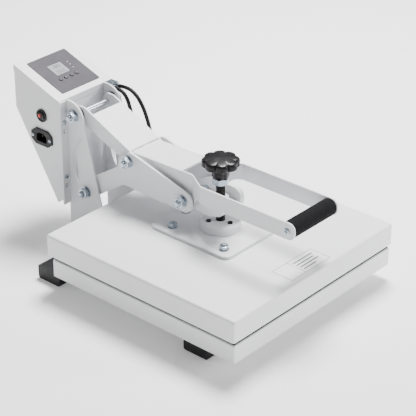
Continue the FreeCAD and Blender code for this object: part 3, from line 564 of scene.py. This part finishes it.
def small_screws():
    """Grip end screws, the inlet's two screws and the box's four."""
    y, z = middle("grip_screws")[1:]
    head = 0.0026
    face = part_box("grip_screws")[1][0] - head
    screw_set("grip_end_screws", "lever", "grip_screws",
              [((face, y, z), "x", 0.005, head), ((-face, y, z), "-x", 0.005, head)])
    inlet_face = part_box("power_inlet")[0][0]
    y, z = middle("power_inlet")[1:]
    half_pitch = 0.020
    screws = []
    for sign in (-1, 1):
        screws.append(((inlet_face, y + sign * half_pitch, z), "-x", 0.0028, 0.0014))
    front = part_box("stand_plate_left")[1][1] - 0.003
    for x in (0.054, -0.054):
        for height in (0.213, 0.113):
            screws.append(((x, front, height), "-y", 0.004, 0.0024))
    screw_set("box_fixing_screws", "stand", "box_screws", screws)


# Pressure screw, jam nut and star knob

def pressure_rod():
    """The threaded pressure screw above its plain collar."""
    low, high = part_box("pressure_screw")
    centre = middle("pressure_screw")
    radius = 0.0075
    pitch = 0.0025
    bm = bmesh.new()
    collar_top = 0.1108
    count = round((high[2] - 0.001 - collar_top) / pitch * 6)
    thread_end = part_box("star_knob")[0][2] + 0.004

    def section(angle):
        points = [(0, low[2]), (0.012, low[2]), (0.012, collar_top), (radius - 0.0009, collar_top)]
        for index in range(count + 1):
            height = collar_top + (thread_end - collar_top) * index / count
            points.append((thread_radius(height, angle, radius, pitch, 0.0009), height))
        points.append((0, thread_end))
        return points

    lathe(bm, section, 48, (centre[0], centre[1], 0), "z")
    piece = finished("threaded_pressure_rod", bm, BLACK_OXIDE, "screw_set", 60)
    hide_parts("pressure_screw")


def jam_nut():
    low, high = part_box("jam_nut")
    centre = middle("jam_nut")
    bm = bmesh.new()
    add_nut(bm, (centre[0], centre[1], low[2]), "z", min(high[0] - low[0], high[1] - low[1]), 0.0068,
            high[2] - low[2])
    piece = finished("hex_jam_nut", bm, ZINC, "screw_set")
    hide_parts("jam_nut")


def star_knob():
    """Eight rounded lobes with scalloped sides, a shallow dome and a fluted stem below."""
    low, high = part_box("star_knob")
    centre = middle("star_knob")
    reach = (high[0] - low[0]) / 2
    star_low = 0.212
    star_high = 0.225
    stem = 0.0138

    def lobed(angle, inset):
        """Broad lobes with narrow grooves between them."""
        wave = abs(math.cos(4 * angle))
        return reach - inset - 0.0052 * (1 - wave ** 0.55)

    def section(angle):
        flute = 0.0013 * abs(math.cos(4 * angle)) ** 0.6 - 0.0010
        return [
            (0, low[2]), (stem - 0.0022, low[2]), (stem - 0.0010 + flute, low[2] + 0.0008),
            (stem - 0.0002 + flute, low[2] + 0.003), (stem + flute, star_low - 0.003),
            (stem + 0.0014 + flute, star_low - 0.0008), (stem + 0.005 + flute, star_low),
            (lobed(angle, 0.0024), star_low + 0.0001), (lobed(angle, 0.0007), star_low + 0.0010),
            (lobed(angle, 0), star_low + 0.0028), (lobed(angle, 0), star_high - 0.0030),
            (lobed(angle, 0.0006), star_high - 0.0012), (lobed(angle, 0.0020), star_high - 0.0002),
            (lobed(angle, 0.0045), star_high + 0.0004), (reach * 0.66, star_high + 0.0013),
            (reach * 0.42, star_high + 0.0022), (reach * 0.2, star_high + 0.0028), (0, star_high + 0.003),
        ]

    bm = bmesh.new()
    lathe(bm, section, 128, (centre[0], centre[1], 0), "z")
    piece = finished("lobed_knob", bm, PHENOLIC, "screw_set", 50)
    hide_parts("star_knob")


# Grip

def foam_grip():
    """Foam sleeve: rounded shoulders and a slightly uneven, hand-worn surface."""
    low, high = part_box("foam_grip")
    y, z = middle("foam_grip")[1:]
    outer = (high[2] - low[2]) / 2
    bore = 0.0105
    length = high[0] - low[0]
    shoulder = 0.0022
    rows = 60

    def section(angle):
        points = [(bore, shoulder * 0.4), (outer - shoulder, 0)]
        for index in range(rows + 1):
            along = shoulder * 0.4 + (length - shoulder * 0.8) * index / rows
            edge = min(along, length - along)
            sunk = max(0, shoulder - edge)
            round_off = shoulder - math.sqrt(shoulder**2 - sunk**2)
            ripple = 0.00012 * math.sin(along * 410 + 2 * angle) * math.sin(3 * angle + along * 95)
            points.append((outer - 0.0002 - round_off + ripple, along))
        points += [(outer - shoulder, length), (bore, length - shoulder * 0.4)]
        return points

    bm = bmesh.new()
    lathe(bm, section, 64, (low[0], y, z), "x", ring=True)
    piece = finished("foam_sleeve", bm, FOAM, "lever", 60)
    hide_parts("foam_grip")
    return piece


# Control panel details

SLOPE_RISE = 0.0365
SLOPE_RUN = 0.1055


def slope_frame():
    """Origin and axes of the box's sloping top: x, up the slope, and out of it."""
    lid_low, lid_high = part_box("control_box_lid")
    rise = math.atan2(SLOPE_RISE, SLOPE_RUN)
    up = Vector((0, math.cos(rise), math.sin(rise)))
    out = Vector((0, -math.sin(rise), math.cos(rise)))
    origin = Vector((0, lid_low[1], lid_high[2] - SLOPE_RISE))
    return origin, Matrix((Vector((1, 0, 0)), up, out)).transposed()


def slab(bm, turn, origin, x, along, out, edge=0.0):
    """A bar given by its spans on a tilted frame, with bevelled edges."""
    verts = []
    for height in out:
        for first, second in ((x[0], along[0]), (x[1], along[0]), (x[1], along[1]), (x[0], along[1])):
            verts.append(bm.verts.new(origin + turn @ Vector((first, second, height))))
    faces = [bm.faces.new([verts[corner] for corner in corners]) for corners in
             ((0, 1, 2, 3), (4, 5, 6, 7), (0, 1, 5, 4), (1, 2, 6, 5), (2, 3, 7, 6), (3, 0, 4, 7))]
    bmesh.ops.recalc_face_normals(bm, faces=faces)
    if edge:
        edges = list({found for face in faces for found in face.edges})
        bmesh.ops.bevel(bm, geom=edges, offset=edge, segments=2, affect="EDGES", profile=0.5)


SEGMENTS = {
    "top": ((0, 1), (2, 2)), "middle": ((0, 1), (1, 1)), "bottom": ((0, 1), (0, 0)),
    "high_left": ((0, 0), (1, 2)), "high_right": ((1, 1), (1, 2)),
    "low_left": ((0, 0), (0, 1)), "low_right": ((1, 1), (0, 1)),
}
DIGITS = {
    "0": ("top", "bottom", "high_left", "high_right", "low_left", "low_right"),
    "1": ("high_right", "low_right"),
    "6": ("top", "middle", "bottom", "high_left", "low_left", "low_right"),
    "8": tuple(SEGMENTS),
}


def display_digits():
    """Two rows of seven-segment numbers: a temperature and a time."""
    origin, turn = slope_frame()
    bm = bmesh.new()
    wide, tall, thick = 0.0036, 0.0033, 0.0006
    for row, figures in ((0.0678, "180"), (0.0545, "060")):
        for index, figure in enumerate(figures):
            left = -0.0098 + index * 0.0062
            for name in DIGITS[figure]:
                (x0, x1), (s0, s1) = SEGMENTS[name]
                x = (left + x0 * wide - thick / 2, left + x1 * wide + thick / 2)
                along = (row + s0 * tall - thick / 2, row + s1 * tall + thick / 2)
                slab(bm, turn, origin, x, along, (0.0006, 0.00075))
    finished("display_digits", bm, SEGMENT, "stand")


def display_frame():
    """Four thin bars round the display window."""
    origin, turn = slope_frame()
    left, right, bottom, top = -0.0172, 0.0144, 0.0502, 0.0788
    rim = 0.0009
    trim = bmesh.new()
    for x, along in (((left, right), (bottom, bottom + rim)), ((left, right), (top - rim, top)),
                     ((left, left + rim), (bottom, top)), ((right - rim, right), (bottom, top))):
        slab(trim, turn, origin, x, along, (0.0007, 0.0011), 0.0001)
    finished("display_frame", trim, BUTTON, "stand")


def button_caps():
    """Round buttons with a raised rim, one to each key."""
    origin, turn = slope_frame()

    def section(angle):
        return [(0, -0.006), (0.0032, -0.006), (0.0032, 0.0013), (0.0030, 0.0019), (0.0024, 0.0021),
                (0.0018, 0.0019), (0, 0.0018)]

    for index, x in enumerate((-0.0182, -0.0065, 0.0067, 0.0184), start=1):
        bm = bmesh.new()
        lathe(bm, section, 32, origin + turn @ Vector((x, 0.041, 0)), frame_turn=turn)
        piece = finished(f"button_cap_{index}", bm, BUTTON, f"key_{index}")
        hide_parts(f"button_{index}")


def lamp_lenses():
    """Three domed lenses in a row beside the display."""
    origin, turn = slope_frame()
    bm = bmesh.new()

    def section(angle):
        return [(0, -0.0002), (0.0018, -0.0002), (0.0018, 0.0008), (0.0013, 0.00125),
                (0.0006, 0.0015), (0, 0.00155)]

    for along in (0.071, 0.064, 0.0556):
        lathe(bm, section, 24, origin + turn @ Vector((0.0245, along, 0)), frame_turn=turn)
    piece = finished("lamp_lenses", bm, LAMP, "stand")
    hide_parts("indicator_lamps")


def switch_details():
    """A scooped rocker with a red mark, tilted to one side."""
    joint = JOINTS["switch_rock"]
    centre = Vector(joint["pos_m"])
    tilt = Matrix.Rotation(math.radians(-7), 3, "Y")
    turn = tilt @ AXES["-x"]

    def section(angle):
        scoop = 0.0012 * abs(math.cos(angle)) ** 2
        return [(0, -0.0015), (0.0074, -0.0015), (0.0076, 0.0045), (0.0071, 0.0058 + scoop * 0.5),
                (0.0058, 0.0062 + scoop * 0.6), (0.003, 0.0055), (0, 0.0052)]

    bm = bmesh.new()
    lathe(bm, section, 48, centre, frame_turn=turn)
    piece = finished("rocker_cap", bm, BLACK_PLASTIC, "rocker", 50)
    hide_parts("switch_rocker")
    mark = bmesh.new()
    slab(mark, turn, centre, (-0.0062, -0.0016), (-0.0030, 0.0030), (0.004, 0.0068), 0.0004)
    finished("rocker_mark", mark, RED, "rocker")


def generic_label():
    """A plain label with a border and blank bars: no lettering."""
    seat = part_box("platen_cover")[1][2]
    left, right, front, rear = -0.050, 0.046, -0.2905, -0.248
    base = bmesh.new()
    turn = Matrix.Identity(3)
    slab(base, turn, Vector((0, 0, seat)), (left, right), (front, rear), (0, 0.0002))
    finished("blank_label", base, LABEL, "platen")
    ink = bmesh.new()
    rim = 0.0007
    inset = 0.0014
    x0, x1, y0, y1 = left + inset, right - inset, front + inset, rear - inset
    bars = [((x0, x1), (y0, y0 + rim)), ((x0, x1), (y1 - rim, y1)), ((x0, x0 + rim), (y0, y1)),
            ((x1 - rim, x1), (y0, y1)), ((x0 + 0.034, x0 + 0.034 + rim), (y0, y1))]
    for row in range(4):
        start = x0 + 0.039
        bars.append(((start, start + (0.046, 0.040, 0.044, 0.030)[row]),
                     (y1 - 0.0105 - row * 0.0072, y1 - 0.0085 - row * 0.0072)))
    for x, along in bars:
        slab(ink, turn, Vector((0, 0, seat)), x, along, (0.00015, 0.0003))
    finished("label_bars", ink, LABEL_INK, "platen")


# Cables: the route points of the two cables, in metres

HEATER_ROUTE = (
    (0.0503, 0.176, 0.2455), (0.0503, 0.159, 0.2445), (0.0506, 0.147, 0.234), (0.051, 0.141, 0.217),
    (0.0515, 0.136, 0.196), (0.052, 0.129, 0.172), (0.052, 0.118, 0.148), (0.052, 0.103, 0.128),
    (0.052, 0.088, 0.114), (0.052, 0.078, 0.0975),
)
SENSOR_ROUTE = (
    (0.0579, 0.176, 0.2455), (0.058, 0.155, 0.2495), (0.0584, 0.135, 0.243), (0.059, 0.120, 0.226),
    (0.060, 0.110, 0.202), (0.061, 0.103, 0.175), (0.0616, 0.097, 0.148), (0.062, 0.088, 0.122),
    (0.062, 0.078, 0.0975),
)
CABLE_RADIUS = 0.0033


def route_line(name, route):
    """Points along the smooth curve that the route controls."""
    data = bpy.data.curves.new(name + "_route", "CURVE")
    data.dimensions = "3D"
    spline = data.splines.new("NURBS")
    spline.points.add(len(route) - 1)
    for point, where in zip(spline.points, route):
        point.co = (*where, 1)
    spline.order_u = 3
    spline.use_endpoint_u = True
    spline.resolution_u = 8
    guide = bpy.data.objects.new(name + "_route", data)
    bpy.context.collection.objects.link(guide)
    bpy.context.view_layer.update()
    line = bpy.data.meshes.new_from_object(guide)
    points = [vertex.co.copy() for vertex in line.vertices]
    bpy.data.objects.remove(guide)
    bpy.data.meshes.remove(line)
    return points


def cable(name, node, route):
    """A cable tube laid along a curve between the stand and the press arm."""
    points = route_line(name, route)
    sides = 20
    bm = bmesh.new()
    rows = []
    along = [0.0]
    for before, after in zip(points, points[1:]):
        along.append(along[-1] + (after - before).length)
    for index, point in enumerate(points):
        ahead = points[min(index + 1, len(points) - 1)] - points[max(index - 1, 0)]
        ahead.normalize()
        side = Vector((1, 0, 0))
        side = (side - ahead * side.dot(ahead)).normalized()
        up = ahead.cross(side)
        rows.append([bm.verts.new(point + CABLE_RADIUS * (side * math.cos(2 * math.pi * step / sides)
                                                          + up * math.sin(2 * math.pi * step / sides)))
                     for step in range(sides)])
    for here, there in zip(rows, rows[1:]):
        for step in range(sides):
            following = (step + 1) % sides
            bm.faces.new([here[step], here[following], there[following], there[step]])
    bm.faces.new(rows[0])
    bm.faces.new(rows[-1])
    piece = finished(name, bm, JACKET, None, 60)
    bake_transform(piece)
    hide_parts(node)


def gland_details():
    """A hexagon clamp ring in front of each cable's exit."""
    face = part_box("cable_gland")[0][1]
    bm = bmesh.new()
    for x in (HEATER_ROUTE[0][0], SENSOR_ROUTE[0][0]):
        add_nut(bm, (x, face - 0.0002, HEATER_ROUTE[0][2]), "-y", 0.0074, CABLE_RADIUS, 0.003)
    finished("gland_rings", bm, ZINC, "stand")


def grommets():
    """Rubber grommets where the cables go into the platen cover."""
    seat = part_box("platen_cover")[1][2]
    bore = CABLE_RADIUS + 0.0001

    def section(angle):
        return [(bore, 0), (0.0062, 0), (0.0062, 0.0012), (0.0054, 0.0022), (0.0044, 0.0028), (bore, 0.0028)]

    bm = bmesh.new()
    for route in (HEATER_ROUTE, SENSOR_ROUTE):
        x, y = route[-1][:2]
        lathe(bm, section, 32, (x, y, seat), "z", ring=True)
    finished("cover_grommets", bm, BLACK_PLASTIC, "platen")


add_camera()
cable("heater_lead", "heater_cable", HEATER_ROUTE)
cable("sensor_lead", "sensor_cable", SENSOR_ROUTE)
add_studio()
add_floor()
dress_frame()
pivot_hardware()
mounting_nuts()
hub_socket_screws()
small_screws()
pressure_rod()
jam_nut()
star_knob()
foam_grip()
display_digits()
display_frame()
button_caps()
lamp_lenses()
switch_details()
generic_label()
gland_details()
grommets()
